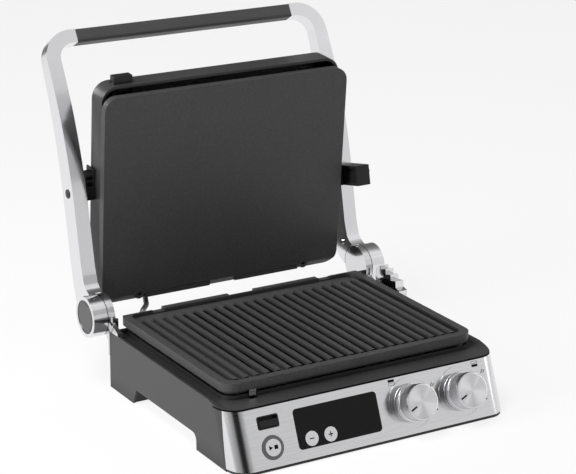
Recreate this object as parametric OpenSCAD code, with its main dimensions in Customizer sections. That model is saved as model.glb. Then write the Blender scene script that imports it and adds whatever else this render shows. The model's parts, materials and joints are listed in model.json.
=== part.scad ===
// Electric indoor grill with a lid that hangs between two arms.
// X runs across the front, Y runs from front to back, Z is up from the surface that it stands on.

/* [Plates] */
// Width of each removable cooking plate
plate_w = 300; // [280:1:320]
// Depth of each removable cooking plate, front to back
plate_d = 236; // [220:1:250]
// Thickness of a plate at its rim
plate_t = 12; // [10:0.5:16]
// Corner radius of a plate
plate_r = 16; // [8:1:24]
// Height of the lower plate's cooking face above the table
plate_z = 79; // [76:0.5:90]
// Width of the flat rim round the ribbed face
rim_w = 9; // [6:0.5:12]
// Depth of the ribbed face below the rim
rib_floor = 4.5; // [3:0.5:6]
// Height of each rib above the ribbed floor
rib_h = 4; // [2.5:0.5:5]
// Width of each rib
rib_w = 6.4; // [4:0.2:8]
// Number of ribs
rib_count = 22; // [16:1:24]
// Length of each rib
rib_len = 196; // [170:1:200]
// Radius of each round hook at the upper plate's rear edge
hook_r = 6; // [5:0.5:7]
// Length of each lip along a plate's rear edge
lip_len = 82; // [60:1:84]

/* [Base] */
// Space between a plate's side and the base's side wall
side_margin = 14; // [10:1:20]
// Space between the plate's front edge and the foot of the front panel
front_margin = 47.5; // [40:0.5:60]
// How far the plate's rear edge hangs over the base's rear wall
rear_overhang = 8; // [4:1:12]
// Height of the side walls' top edge above the table
wall_top = 64.5; // [60:0.5:70]
// Thickness of the base's moulded walls
wall = 3; // [2:0.5:4]
// Height of the base's underside above the table
base_low = 1; // [1:0.5:2.5]
// Width of the level top of each side wall
rim_side = 2.5; // [2:0.5:4]
// Height of the kerb on the deck under the plate's edge
kerb_h = 4.5; // [2:0.5:5]
// Height of the arched cut-out under each side wall
arch_h = 18; // [12:1:22]
// Length of the arched cut-out
arch_len = 131; // [100:1:150]
// Distance from the rear wall to the cut-out
arch_rear = 62; // [50:1:75]

/* [Front panel] */
// Lean of the steel front panel, in degrees from vertical
panel_lean = 23; // [15:1:28]
// Height of the panel's top edge above the table
panel_top = 60.5; // [56:0.5:66]
// Height of the panel's bottom edge above the table
panel_low = 4; // [3:0.5:8]
// Thickness of the panel's steel
panel_t = 1.2; // [0.8:0.1:2]
// Radius of the panel's two front corners
panel_r = 21.5; // [14:0.5:30]
// Width of the display window
window_w = 98; // [80:1:110]
// Height of the display window
window_h = 41; // [30:1:44]
// Place of the window's centre across the panel
window_x = -41; // [-50:1:-30]
// Place of the window's centre up the panel
window_s = 31.2; // [28:0.2:34]
// Diameter of the minus and plus buttons
key_d = 15; // [10:0.5:18]
// Diameter of the start button's disc
start_d = 17.4; // [12:0.2:20]
// Diameter of the ring round the start button
start_ring_d = 24.4; // [22:0.2:28]
// Place of the start button across the panel
start_x = -119; // [-125:1:-110]
// Width of the plate release button
release_w = 24; // [16:1:28]
// Height of the plate release button
release_h = 13; // [9:0.5:16]
// Diameter of each knob's face
knob_d = 36.5; // [28:0.5:42]
// Diameter of each knob's skirt
skirt_d = 40; // [38:0.5:46]
// Width of the steel ring that shows round each knob's skirt
bezel_w = 7; // [4:0.5:8]
// Height of each knob's face above the panel
knob_h = 22.5; // [16:0.5:28]
// Place of the left knob across the panel
knob_x = 47.5; // [40:0.5:55]
// Distance between the two knobs
knob_pitch = 61.5; // [50:0.5:66]
// Diameter of each knob's shaft
shaft_d = 6; // [4:0.5:8]

/* [Hinge] */
// How far the hinge axis lies behind the plate's rear edge
hinge_back = 9.5; // [6:0.5:14]
// Height of the hinge axis below the lower plate's face
hinge_drop = 0.5; // [0:0.5:4]
// Radius of the hinge barrels
barrel_r = 22.5; // [20:0.5:26]
// Length of each moving barrel
barrel_w = 17; // [14:0.5:22]
// Width of each fixed knuckle
knuckle_w = 8; // [6:0.5:12]
// Gap between a plate's side and the fixed knuckle
knuckle_gap = 9; // [8:0.5:12]
// Diameter of the hinge pins
pin_d = 10; // [8:0.5:12]
// Outer diameter of the stop collar inside each barrel
collar_d = 28; // [22:1:32]
// Radius of the dark end caps
cap_r = 18.4; // [14:0.2:19]

/* [Arms and grip] */
// Width of each arm, across the grill
arm_w = 16.2; // [12:0.2:20]
// Lean of the straight lower part of each arm, in degrees
arm_lean = 11.8; // [9:0.2:14]
// Distance from the hinge axis to the arm's front edge, along Y at the axis
arm_front = 15.5; // [13:0.5:18]
// Distance from the hinge axis to the arm's back edge, along Y at the axis
arm_back = 42; // [40:0.5:46]
// Height above the hinge axis where the arm starts to curve back
arm_straight = 112; // [110:1:125]
// Height above the hinge axis where the arm turns into the grip's bend
arm_h = 258; // [240:0.5:270]
// Lean of the arm where the bend starts, in degrees
bend_lean = 30; // [24:1:34]
// Outer radius of the bend
bend_r = 33; // [26:0.5:40]
// Thickness of the frame, front to back, at the bend
bend_t = 17; // [14:0.5:20]
// Thickness of the grip in the plane of the frame
grip_t = 15; // [13:0.5:18]
// Length of the dark grip between the two bends
grip_len = 269; // [240:1:280]
// Diameter of the steel core inside the grip
core_d = 8; // [6:0.5:10]

/* [Lid] */
// Lean of the open lid towards the front, in degrees from vertical
lid_lean = 4.5; // [0:0.5:8]
// Distance from the lid's pivot axis to the hinge axis, along Y
pivot_y = 54; // [50:0.5:58]
// Distance from the lid's pivot axis to the hinge axis, along Z
pivot_z = 121.7; // [118:0.1:126]
// Distance from the upper plate's face to the pivot axis
pivot_depth = 35.3; // [33:0.1:38]
// Height of the pivot axis above the middle of the upper plate
pivot_up = 4.1; // [0:0.1:6]
// Distance from the upper plate's face to the rim of the lid housing
housing_near = 14; // [13.5:0.5:16]
// Distance from the upper plate's face to the back of the lid housing
housing_far = 38; // [37:0.5:42]
// How far the lid housing reaches past the plate's front edge
housing_over = 8; // [6:0.5:12]
// How far each side of the lid housing lies inside the plate's side
housing_inset = 3; // [2:0.5:5]
// Corner radius of the lid housing
housing_r = 18; // [12:1:24]
// Distance from the upper plate's face to the back of the steel cover
cover_far = 54; // [48:0.5:60]
// Thickness of the steel cover
cover_t = 1.2; // [0.8:0.1:2]
// Diameter of the pivot bolts
bolt_d = 8; // [6:0.5:10]

/* [Height stop] */
// Length of the slider along the arm
slider_l = 23; // [18:0.5:26]
// Place of the slider's lower end, measured from the hinge axis along the arm
slider_low = 92; // [88:0.5:94]
// Thickness of the slider's walls
slider_wall = 3; // [2:0.5:4]
// How far the slider's foot reaches in front of the arm
slider_foot = 33; // [28:0.5:34]
// Pitch of the steps
step_pitch = 10.2; // [8:0.2:12]
// Width of the stepped rack
rack_w = 10.7; // [8:0.1:11]

/* [Inside] */
// Diameter of the tubular heating elements
heater_d = 7; // [5:0.5:9]
// Width of the drip tray
tray_w = 230; // [180:1:250]
// Depth of the drip tray, front to back
tray_l = 150; // [110:1:170]
// Diameter of the wiring sleeve between base and lid
sleeve_d = 6; // [5:0.5:8]
// Height of the drip tray
tray_h = 12; // [8:0.5:13]

/* [Hidden] */
$fn = 64;
fit = 0.05;
gap = 0.3;
seam = 0.8;
screw_r = 1.8;
head_r = 3.2;
hw = plate_w / 2 + side_margin;
rear_y = plate_d / 2 - rear_overhang;
panel_y = -(plate_d / 2 + front_margin);
hinge_y = plate_d / 2 + hinge_back;
hinge_z = plate_z - hinge_drop;
knuckle_x = plate_w / 2 + knuckle_gap;
barrel_x = knuckle_x + knuckle_w;
cap_x = barrel_x + barrel_w;
grip_x = knuckle_x + arm_w - bend_r;
key_s = 19.7;
knob_s = 31.5;
release_s = 45.4;
floor_z = 5;
deck_z = wall_top - 3;
well_w = plate_w - 20;
well_d = plate_d - 24;
well_y = -4;
well_floor = 36;
hollow = 5;
heater_drop = 6.5;
leg_x = plate_w / 2 - 10;
leg_y = plate_d / 2 - 22;
leg_h = plate_z - plate_t - deck_z - 1 - fit;
arch_back = rear_y - arch_rear;
arch_front = arch_back - arch_len;
gland_x = hw - 32;
gland_z = 46;
sleeve_x = -112;
sleeve_z = 48;
gland_r = 7;
tray_z = arch_h + 3.5;
pad_y = hinge_y - 39;
step = 3;
hook_x = plate_w / 2 - 45;
hook_y = plate_d / 2 - 7;
latch_y = 1.4 - plate_d / 2;
latch_z = 50;
latch_top = plate_z - plate_t + step - gap;
latch_half = 1.2;
rod_len = (latch_y - latch_half - 2 * gap - panel_y - (release_s + 1) * sin(panel_lean)) / cos(panel_lean);
board_d = 26;
board_y = arch_front - 4.5 - board_d;
lug_r = 7.5;
housing_w = plate_w - 2 * housing_inset;
housing_low = plate_d / 2 + 4;
housing_high = plate_d / 2 + housing_over;
housing_d = housing_low + housing_high;
housing_mid = (housing_low - housing_high) / 2;
lid_latch_x = plate_w / 2 - 31;
lid_latch_z = -25;
lid_screw_x = plate_w / 3;
lid_screw_y = plate_d / 2 - 38;
front_curve = (tan(bend_lean) - tan(arm_lean)) / (2 * (arm_h - arm_straight));
arm_top = arm_front + arm_h * tan(arm_lean) + front_curve * pow(arm_h - arm_straight, 2);
back_h = arm_h - bend_t * sin(bend_lean);
back_top = arm_top + bend_t * cos(bend_lean);
back_curve = (back_top - arm_back - back_h * tan(arm_lean)) / pow(back_h - arm_straight, 2);
front_reach = -panel_y - knob_s * sin(panel_lean) + knob_h * cos(panel_lean) + knob_d / 2 * sin(panel_lean);
rear_reach = hinge_y + back_top + bend_r * sin(bend_lean);
origin_y = (rear_reach - front_reach) / 2;
lid_y = hinge_y + pivot_y - pivot_depth * cos(lid_lean) + pivot_up * sin(lid_lean);
lid_z = hinge_z + pivot_z - pivot_depth * sin(lid_lean) - pivot_up * cos(lid_lean);
lid_sleeve_x = 84;
lid_sleeve_depth = 26;
sleeve_route = [[sleeve_x, rear_y - 6, sleeve_z], [-112, 117, 48], [-112, 123, 48], [-111, 130, 49.5],
    [-110, 137, 51.5], [-108, 144, 54], [-105, 151, 56.5], [-101, 157, 58.5], [-97, 162, 60],
    [-92, 167, 61], [-88, 172, 61.5], [-85.5, 177.5, 62.5], [-84.2, 181.3, 65], [-84, 182.6, 68],
    [-84, 182.3, 70.8]];

// Front and back edge of an arm at a height above the hinge axis
function front_at(z) = arm_front + z * tan(arm_lean) + front_curve * pow(max(0, z - arm_straight), 2);
function back_at(z) = arm_back + z * tan(arm_lean) + back_curve * pow(max(0, z - arm_straight), 2);

// Height of each step of the rack, and how far the step before it stands above it
function step_top(i) = 7.6 - [0, 0.2, 3.4, 7.6, 13.2][i];
function step_rise(i) = [4.2, 3, 2.4, 2][i];

// Ring of n points round one point p of a route that heads along d
function ring(p, d, r, n) =
    let (a = cross(d, [1, 0, 0]) / norm(cross(d, [1, 0, 0])), b = cross(a, d) / norm(d))
    [for (i = [0:n - 1]) p + r * (cos(i * 360 / n) * a + sin(i * 360 / n) * b)];

// Moves a piece from the lower plate's middle to the part's own origin
module placed() {
    translate([0, -origin_y, 0]) children();
}

// Rounded rectangle about its middle
module rounded(w, d, r) {
    square([w - 2 * r, d], center = true);
    square([w, d - 2 * r], center = true);
    for (x = [-1, 1], y = [-1, 1])
        translate([x * (w / 2 - r), y * (d / 2 - r)]) circle(r);
}

// Rounded slab whose low face is at z
module slab(w, d, r, z, t) {
    translate([0, 0, z]) linear_extrude(t) rounded(w, d, r);
}

// Cylinder along X from x0 to x1
module rod_x(x0, x1, r) {
    translate([x0, 0, 0]) rotate([0, 90, 0]) cylinder(h = x1 - x0, r = r);
}

// Outline in Y and Z, extruded along X from x0 to x1
module side_cut(x0, x1) {
    translate([x0, 0, 0]) rotate([90, 0, 90]) linear_extrude(x1 - x0) children();
}

// Outline in X and Z, extruded along Y from y0 to y1
module top_cut(y0, y1) {
    translate([0, y1, 0]) rotate([90, 0, 0]) linear_extrude(y1 - y0) children();
}

// Both sides of the grill: the child is drawn for the right and mirrored to the left
module both_sides() {
    children();
    mirror([1, 0, 0]) children();
}

// Frame of the front panel: X across, Y up the panel, Z out of it
module on_panel(x, s) {
    translate([0, panel_y, panel_low]) rotate([90 - panel_lean, 0, 0]) translate([x, s, 0]) children();
}

// Section of the base square to the panel's slope, drawn in by inset
module front_section(inset) {
    r = panel_r - inset;
    w = hw - inset;
    translate([-w + r, inset]) square([2 * (w - r), 400]);
    translate([-w, inset + r]) square([2 * w, 400 - r]);
    for (x = [-1, 1]) translate([x * (w - r), inset + r]) circle(r);
}

// Whole outside of the base between two heights, drawn in by inset
module base_block(inset, z0, z1) {
    intersection() {
        translate([0, panel_y, panel_low]) rotate([-panel_lean, 0, 0])
            translate([0, 0, -80]) linear_extrude(300) front_section(inset);
        translate([-250, -300, z0]) cube([500, 300 + rear_y - inset, z1 - z0]);
    }
}

// Everything in front of the seam between the side walls and the steel panel
module seam_zone(back) {
    translate([0, panel_y + panel_r + back, panel_low]) rotate([-14, 0, 0])
        translate([-250, -200, -80]) cube([500, 200, 200]);
}

module base_shell() {
    color("dimgray") placed() {
        difference() {
            union() {
                difference() {
                    base_block(0, base_low, wall_top);
                    base_block(wall, -1, deck_z - wall);
                }
                // Boxes that carry the rear feet
                for (x = [-1, 1]) difference() {
                    translate([x * (hw - 14) - 14, rear_y - arch_rear + 9, base_low])
                        cube([28, arch_rear - 9, arch_h + 2 - base_low]);
                    translate([x * (hw - 14) - 11.5, rear_y - arch_rear + 11.5, floor_z])
                        cube([23, arch_rear - 15, arch_h]);
                }
                // Tray under the controls
                intersection() {
                    base_block(0, base_low, arch_h + 2);
                    translate([-hw, panel_y - 5, 0]) cube([2 * hw, arch_front - panel_y + 5, wall_top]);
                }
            }
            intersection() {
                base_block(wall, floor_z, deck_z - wall);
                translate([-hw, panel_y - 5, 0]) cube([2 * hw, arch_front - panel_y + 5 - wall, wall_top]);
            }
            // Dished deck with sloped sides, open towards the front, and wider rims under the hinge brackets
            top_cut(panel_y - 5, pad_y) polygon([[8 - hw, deck_z], [hw - 8, deck_z],
                [hw - rim_side, wall_top], [hw - rim_side, wall_top + 9],
                [rim_side - hw, wall_top + 9], [rim_side - hw, wall_top]]);
            translate([7 - hw, pad_y - 1, deck_z]) cube([2 * hw - 14, rear_y - pad_y - 5, 10]);
            side_cut(-hw - 1, hw + 1) polygon([[panel_y - 5, panel_top + panel_t],
                [-plate_d / 2 - 6, panel_top + panel_t], [10 - plate_d / 2, wall_top],
                [10 - plate_d / 2, wall_top + 9], [panel_y - 5, wall_top + 9]]);
            translate([0, well_y, 0]) slab(well_w, well_d, 12, deck_z - wall - 1, wall + 5);
            translate([start_x - 5, latch_y - 5, deck_z - wall - 1]) cube([10, 10, wall + 5]);
            // Arched cut-outs under the side walls
            side_cut(-hw - 1, hw + 1) arch();
            // Seat of the steel panel
            intersection() {
                seam_zone(gap);
                difference() {
                    base_block(-1, -5, panel_top);
                    base_block(panel_t + gap / 3, -6, panel_top + 1);
                }
            }
            on_panel(window_x, window_s) translate([0, 0, -wall - 2]) linear_extrude(wall + 3)
                rounded(window_w - 2, window_h - 2, 3.4);
            on_panel(start_x, key_s) translate([0, 0, -wall - 2])
                cylinder(h = wall + 3, d = start_ring_d - 4);
            on_panel(start_x, release_s) translate([0, 0, -wall - 2]) linear_extrude(wall + 3)
                rounded(release_w + 0.4, release_h + 0.4, 2.2);
            for (x = [knob_x, knob_x + knob_pitch])
                on_panel(x, knob_s) translate([0, 0, -wall - 2]) cylinder(h = wall + 3, d = 11);
            // Drip tray mouth and the two gland holes in the rear wall
            translate([-tray_w / 2 - gap, rear_y - wall - 1, tray_z - gap])
                cube([tray_w + 2 * gap, wall + 2, tray_h + 2 * gap]);
            for (place = [[gland_x, gland_z], [sleeve_x, sleeve_z]])
                translate([place[0], rear_y - wall - 1, place[1]]) rotate([-90, 0, 0])
                    cylinder(h = wall + 2, r = gland_r + fit);
        }
        // Ears and axle of the plate latch, under the deck
        for (x = [-1, 1]) translate([start_x + x * 6 - 1.2, latch_y - 3, latch_z - 3])
            cube([2.4, 6, deck_z - wall - latch_z + 3.2]);
        translate([0, latch_y, latch_z]) rod_x(start_x - 6, start_x + 6, 1.5);
        // Kerb under the plate's edge, open at the rear and where the latch comes up
        difference() {
            translate([0, 0, deck_z - 0.5]) linear_extrude(kerb_h + 0.5) difference() {
                rounded(plate_w - 1.4, plate_d - 1.4, plate_r - 0.7);
                rounded(plate_w - 5.4, plate_d - 5.4, plate_r - 2.7);
            }
            translate([-plate_w, plate_d / 2 - 20, 0]) cube([2 * plate_w, 40, 100]);
            translate([start_x - 5, -plate_d / 2 - 1, 0]) cube([10, 10, 100]);
        }
    }
}

// Outline of the arched cut-out
module arch() {
    r = 8;
    polygon(concat([[arch_back + 9, -1], [arch_back + 1, arch_h]],
        [for (a = [0:15:90]) [arch_front + r - r * sin(a), arch_h - r + r * cos(a)]], [[arch_front, -1]]));
}

module bottom_plate() {
    color("silver") placed() difference() {
        translate([-hw + wall + gap, arch_front + gap, arch_h + 0.5])
            cube([2 * (hw - wall - gap), rear_y - wall - arch_front - 2 * gap, 1.5]);
        for (x = [-1, 1])
            translate([x * (hw - 14) - 14.3, rear_y - arch_rear + 8.7, 0]) cube([28.6, 90, 60]);
        at_base_screws() cylinder(h = 5, r = screw_r);
    }
}

// Undersides of the six places where the bottom plate is screwed on
module at_base_screws() {
    for (x = [-1, 0, 1], y = [arch_front + 23, arch_back - 18])
        translate([x * hw * 0.55, y, arch_h - 1.4]) children();
}

module front_panel() {
    color("gainsboro") placed() difference() {
        intersection() {
            difference() {
                base_block(0, panel_low, panel_top);
                base_block(panel_t, panel_low - 1, panel_top + 1);
            }
            seam_zone(0);
        }
        on_panel(window_x, window_s) translate([0, 0, -5]) linear_extrude(8)
            rounded(window_w + 0.2, window_h + 0.2, 4.1);
        on_panel(start_x, key_s) translate([0, 0, -5]) cylinder(h = 8, d = start_ring_d + 0.2);
        on_panel(start_x, release_s) translate([0, 0, -5]) linear_extrude(8)
            rounded(release_w + 0.4, release_h + 0.4, 2.2);
        for (x = [knob_x, knob_x + knob_pitch]) on_panel(x, knob_s)
            translate([0, 0, -5]) cylinder(h = 8, d = 11);
    }
}

module display_window() {
    color("black") placed() on_panel(window_x, window_s) difference() {
        union() {
            translate([0, 0, -panel_t]) linear_extrude(panel_t + 0.4) rounded(window_w, window_h, 4);
            translate([0, 0, -panel_t - 2.5]) linear_extrude(2.5)
                rounded(window_w - 2.4, window_h - 2.4, 3.2);
        }
        for (x = [-33.5, -11.5]) translate([x, key_s - window_s, -6]) cylinder(h = 9, d = key_d + 0.4);
    }
}

module display_board() {
    color("darkgreen") placed() on_panel(window_x, window_s) {
        translate([-window_w / 2 - 5, -window_h / 2 + 1, -10.2]) cube([window_w + 10, window_h - 2, 1.6]);
        // Liquid crystal glass behind the window
        translate([-16, -3, -8.6]) cube([58, 20, 4.6]);
        for (x = [-33.5, -11.5]) translate([x - 3, key_s - window_s - 3, -8.6]) cube([6, 6, 1.6]);
        for (x = [-1, 1], y = [-1, 1]) translate([x * (window_w / 2 + 1.5), y * (window_h / 2 - 4), -8.6])
            cylinder(h = 8.6 - wall - gap / 3, r = 2);
    }
}

// Small round key with its stem
module key() {
    translate([0, 0, -3.8]) cylinder(h = 4.9, d = key_d);
    translate([0, 0, -5.2]) cylinder(h = 2, d = 5);
}

module minus_button() {
    color("silver") placed() on_panel(window_x - 33.5, key_s) difference() {
        key();
        translate([-2.6, -0.5, 0.8]) cube([5.2, 1, 1]);
    }
}

module plus_button() {
    color("silver") placed() on_panel(window_x - 11.5, key_s) difference() {
        key();
        translate([-2.6, -0.5, 0.8]) cube([5.2, 1, 1]);
        translate([-0.5, -2.6, 0.8]) cube([1, 5.2, 1]);
    }
}

module start_button() {
    color("silver") placed() on_panel(start_x, key_s) difference() {
        union() {
            translate([0, 0, -5]) cylinder(h = 6.2, d = start_d);
            translate([0, 0, -7]) cylinder(h = 3, d = 6);
        }
        translate([1.2, -2, 0.9]) cube([4, 4, 1]);
        translate([-2.6, 0, 0.9]) linear_extrude(1) polygon([[-2, -1.9], [-2, 1.9], [1.6, 0]]);
    }
}

module start_ring() {
    color("gray") placed() on_panel(start_x, key_s) difference() {
        union() {
            translate([0, 0, -panel_t]) cylinder(h = panel_t + 0.7, d = start_ring_d);
            translate([0, 0, -10.2]) cylinder(h = 10, d = start_ring_d - 4.3);
        }
        translate([0, 0, -9]) cylinder(h = 12, d = start_d + 0.3);
    }
}

module release_frame() {
    color("black") placed() on_panel(start_x, release_s) difference() {
        translate([0, 0, -8]) linear_extrude(8.6) rounded(release_w, release_h, 2);
        translate([0, 0, -9]) linear_extrude(11) rounded(release_w - 2.4, release_h - 2.4, 1.2);
    }
}

module release_button() {
    color("black") placed() on_panel(start_x, release_s) {
        w = release_w - 3;
        translate([-w / 2, -release_h / 2 + 1.6, -7]) cube([w, release_h / 2 + 0.6, 8.6]);
        translate([-w / 2, 1, -7]) cube([w, release_h / 2 - 2.6, 3]);
        // Push rod towards the latch
        translate([-3, -3, -rod_len]) cube([6, 4, rod_len - 6]);
    }
}

// Rocking latch behind the release button: the button pushes its foot back and its nose comes forward
module plate_latch() {
    color("silver") placed() difference() {
        union() {
            translate([start_x - 4, latch_y - latch_half, latch_z - 20])
                cube([8, 1.8, latch_top - latch_z + 20]);
            translate([start_x - 4, latch_y - latch_half, latch_top - 2])
                cube([8, latch_half + step - gap - plate_d / 2 - latch_y, 2]);
            translate([0, latch_y, latch_z]) rod_x(start_x - 4, start_x + 4, 3.4);
        }
        translate([0, latch_y, latch_z]) rod_x(start_x - 5, start_x + 5, 1.5 + fit);
    }
}

// Knob about its own axis
module knob() {
    translate([0, 0, 1]) cylinder(h = 7, d = skirt_d);
    translate([0, 0, 8]) cylinder(h = 2.4, d1 = skirt_d - 1, d2 = knob_d + 1.5);
    translate([0, 0, 10.4]) cylinder(h = knob_h - 11.2, d1 = knob_d + 0.6, d2 = knob_d);
    translate([0, 0, knob_h - 0.8]) cylinder(h = 0.8, d1 = knob_d, d2 = knob_d - 1.6);
}

module knob_at(x) {
    on_panel(x, knob_s) difference() {
        knob();
        translate([0, 0, -1]) cylinder(h = knob_h - 4, d = shaft_d + 2 * fit);
        // Pointer line cut into the face
        rotate([0, 0, 204]) translate([knob_d / 2 - 9, -0.6, knob_h - 0.6]) cube([7.6, 1.2, 2]);
    }
}

module left_knob() {
    color("lightgray") placed() knob_at(knob_x);
}

module right_knob() {
    color("lightgray") placed() knob_at(knob_x + knob_pitch);
}

module knob_collars() {
    d = skirt_d + 2 * bezel_w;
    color("silver") placed() for (x = [knob_x, knob_x + knob_pitch]) on_panel(x, knob_s) difference() {
        cylinder(h = 0.9, d = d);
        translate([0, 0, 0.3]) cylinder(h = 1, d = d - 2.4);
        translate([0, 0, -1]) cylinder(h = 3, d = 11);
    }
}

module thermostats() {
    color("tan") placed() for (x = [knob_x, knob_x + knob_pitch]) on_panel(x, knob_s) {
        translate([0, 0, -4]) cylinder(h = knob_h - 2, d = shaft_d);
        translate([-13, -13, -17]) cube([26, 26, 13.5 - gap]);
        translate([0, 0, -4]) cylinder(h = 3.8, d = 10);
    }
}

module control_board() {
    // The board, its two posts, a transformer and a relay
    color("darkgreen") placed() translate([0, board_y, floor_z]) {
        translate([-60, 0, 9]) cube([110, board_d, 1.6]);
        for (x = [-50, 40]) translate([x, 3, 0]) cube([8, 8, 9]);
        translate([-40, 4, 10.6]) cube([20, 15, 14]);
        translate([-10, 4, 10.6]) cube([16, 18, 12]);
    }
}

// Cast body of a plate: face up at z = 0, rear edge at +Y
module plate_body() {
    difference() {
        union() {
            slab(plate_w, plate_d, plate_r, step - plate_t, plate_t - step);
            slab(plate_w - 2 * step, plate_d - 2 * step, plate_r - step, -plate_t, step);
            // Legs that stand on the flange below
            for (x = [-1, 1], y = [-1, 1]) translate([x * leg_x, y * leg_y, -plate_t - leg_h])
                cylinder(h = leg_h + step - 0.1, r = 3);
        }
        slab(plate_w - 16, plate_d - 16, plate_r - 8, -plate_t - 0.01, hollow + 0.01);
        // Slope along the rear edge
        side_cut(-plate_w, plate_w)
            polygon([[hook_y, 0], [hook_y + 8, -32 / 7], [hook_y + 8, 1], [hook_y, 1]]);
    }
    // Lips that stand on the slope
    both_sides() translate([hook_x - hook_r - 1 - lip_len, hook_y + 1.5, -5]) cube([lip_len, 5, 4.6]);
}

module lower_plate() {
    pitch = (plate_w - 2 * rim_w - 20) / (rib_count - 1);
    color("darkslategray") placed() translate([0, 0, plate_z]) {
        difference() {
            plate_body();
            slab(plate_w - 2 * rim_w, plate_d - 2 * rim_w, plate_r - 6, -rib_floor, rib_floor + 1);
            // Notches under the upper plate's hooks
            both_sides() translate([hook_x, hook_y, -3]) {
                cylinder(h = 4, r = hook_r + 1.5);
                translate([-hook_r - 1.5, 0, 0]) cube([2 * hook_r + 3, 10, 4]);
            }
        }
        for (i = [0:rib_count - 1])
            translate([(i - (rib_count - 1) / 2) * pitch, rib_len / 2 - 7, -rib_floor]) rotate([90, 0, 0])
                linear_extrude(rib_len) polygon([[-rib_w / 2, -0.5], [rib_w / 2, -0.5],
                    [rib_w / 2 - 1, rib_h], [-rib_w / 2 + 1, rib_h]]);
    }
}

// Tubular element: four runs joined by round ends, drawn about its middle, with two cold ends at the rear
module heater_loop(w, d) {
    r = w / 8;
    for (i = [0:3]) translate([(i * 2 - 3) * r, d / 2 - r, 0]) rotate([90, 0, 0])
        cylinder(h = d - 2 * r, d = heater_d);
    for (i = [-2, 2]) translate([i * r, -d / 2 + r, 0]) rotate([0, 0, 180]) rotate_extrude(angle = 180)
        translate([r, 0]) circle(d = heater_d);
    translate([0, d / 2 - r, 0]) rotate_extrude(angle = 180) translate([r, 0]) circle(d = heater_d);
    for (i = [-3, 3]) translate([i * r, d / 2 - r, 0]) rotate([-90, 0, 0]) cylinder(h = r - 4, d = heater_d);
}

module lower_heater() {
    color("slategray") placed() translate([0, well_y, plate_z - plate_t - heater_drop])
        heater_loop(well_w - 60, well_d - 44);
}

// Pressed tray with a flange at z = 0 to 1, and the clips that hold the element at the given height
module reflector_tray(deep, lip, clip) {
    difference() {
        union() {
            slab(well_w - 1, well_d - 1, 11.5, -deep, deep);
            slab(well_w + 2 * lip, well_d + 3, 13, 0, 1);
        }
        slab(well_w - 3.4, well_d - 3.4, 10.3, -deep + 1.2, deep + 5);
        translate([0, -16, -deep - 1]) cylinder(h = deep, r = 6 + fit);
    }
    for (x = [-1, 1], y = [-50, 40]) translate([x * (well_w - 60) * 3 / 8 - 2, y, -deep + 1])
        cube([4, 6, deep - 1 - clip - heater_d / 2 - fit]);
}

module lower_reflector() {
    color("silver") placed() translate([0, well_y, deck_z])
        reflector_tray(deck_z - well_floor, 7, deck_z - plate_z + plate_t + heater_drop);
}

module plate_sensor() {
    // The flange stays clear of the drip tray, which slides out below it
    low = tray_z + tray_h + 1;
    color("goldenrod") placed() translate([0, well_y - 16, low]) {
        cylinder(h = plate_z - plate_t + hollow - gap - low, r = 6);
        cylinder(h = well_floor - gap / 3 - low, r = 9);
    }
}

module drip_tray() {
    color("dimgray") placed() translate([0, rear_y + gap, tray_z]) difference() {
        union() {
            translate([-tray_w / 2, -tray_l, 0]) cube([tray_w, tray_l + 1, tray_h]);
            translate([-tray_w / 2 - 5, 0, -2]) cube([tray_w + 10, 3, tray_h + 5]);
        }
        translate([-tray_w / 2 + 2, 2 - tray_l, 1.5]) cube([tray_w - 4, tray_l - 4, tray_h]);
        // Finger pull under the tray's front
        translate([-30, 1.2, -3]) cube([60, 4, 5]);
    }
}

module tray_rails() {
    color("silver") placed() both_sides() translate([tray_w / 2, rear_y - wall - gap - tray_l, arch_h + 2]) {
        translate([gap, 0, 0]) cube([2, tray_l, 8]);
        translate([-6, 0, 0]) cube([16, tray_l, 1.2]);
    }
}

module rubber_feet() {
    color("black") placed() for (x = [-1, 1]) {
        translate([x * (hw - 14), rear_y - arch_rear / 2 + 6, 0]) cylinder(h = base_low - fit, r = 9);
        translate([x * (hw - 24), panel_y + 40, 0]) cylinder(h = base_low - fit, r = 9);
    }
}

// Frame at the hinge axis
module at_hinge() {
    translate([0, hinge_y, hinge_z]) children();
}

module hinge_brackets() {
    color("silver") placed() both_sides() at_hinge() difference() {
        union() {
            rod_x(knuckle_x, barrel_x, barrel_r);
            // Leg that comes forward and down to the deck
            side_cut(knuckle_x, hw) polygon([[-15, -3], [-22, -4], [-37, wall_top - hinge_z + 3],
                [-37, wall_top - hinge_z], [rear_y - hinge_y + gap, wall_top - hinge_z],
                [rear_y - hinge_y + gap, -30], [-8, -20]]);
            translate([knuckle_x - 2, -37, wall_top - hinge_z + fit]) cube([hw - knuckle_x + 2, 20, 3]);
            translate([knuckle_x - 6, rear_y - hinge_y + gap, -42]) cube([hw - knuckle_x + 6, 3, 40]);
        }
        rod_x(knuckle_x + 2, barrel_x + 1, pin_d / 2 + fit);
        // Small slot in the knuckle's rim
        translate([knuckle_x + 3, -barrel_r - 2, -6]) cube([2.5, 5, 9]);
        for (z = [-24, -36]) translate([knuckle_x - 2.5, -20, z]) rotate([-90, 0, 0])
            cylinder(h = 12, r = screw_r);
    }
}

module hinge_pins() {
    color("silver") placed() both_sides() at_hinge() rod_x(knuckle_x + 2 + gap / 3, cap_x - 4.5, pin_d / 2);
}

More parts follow.
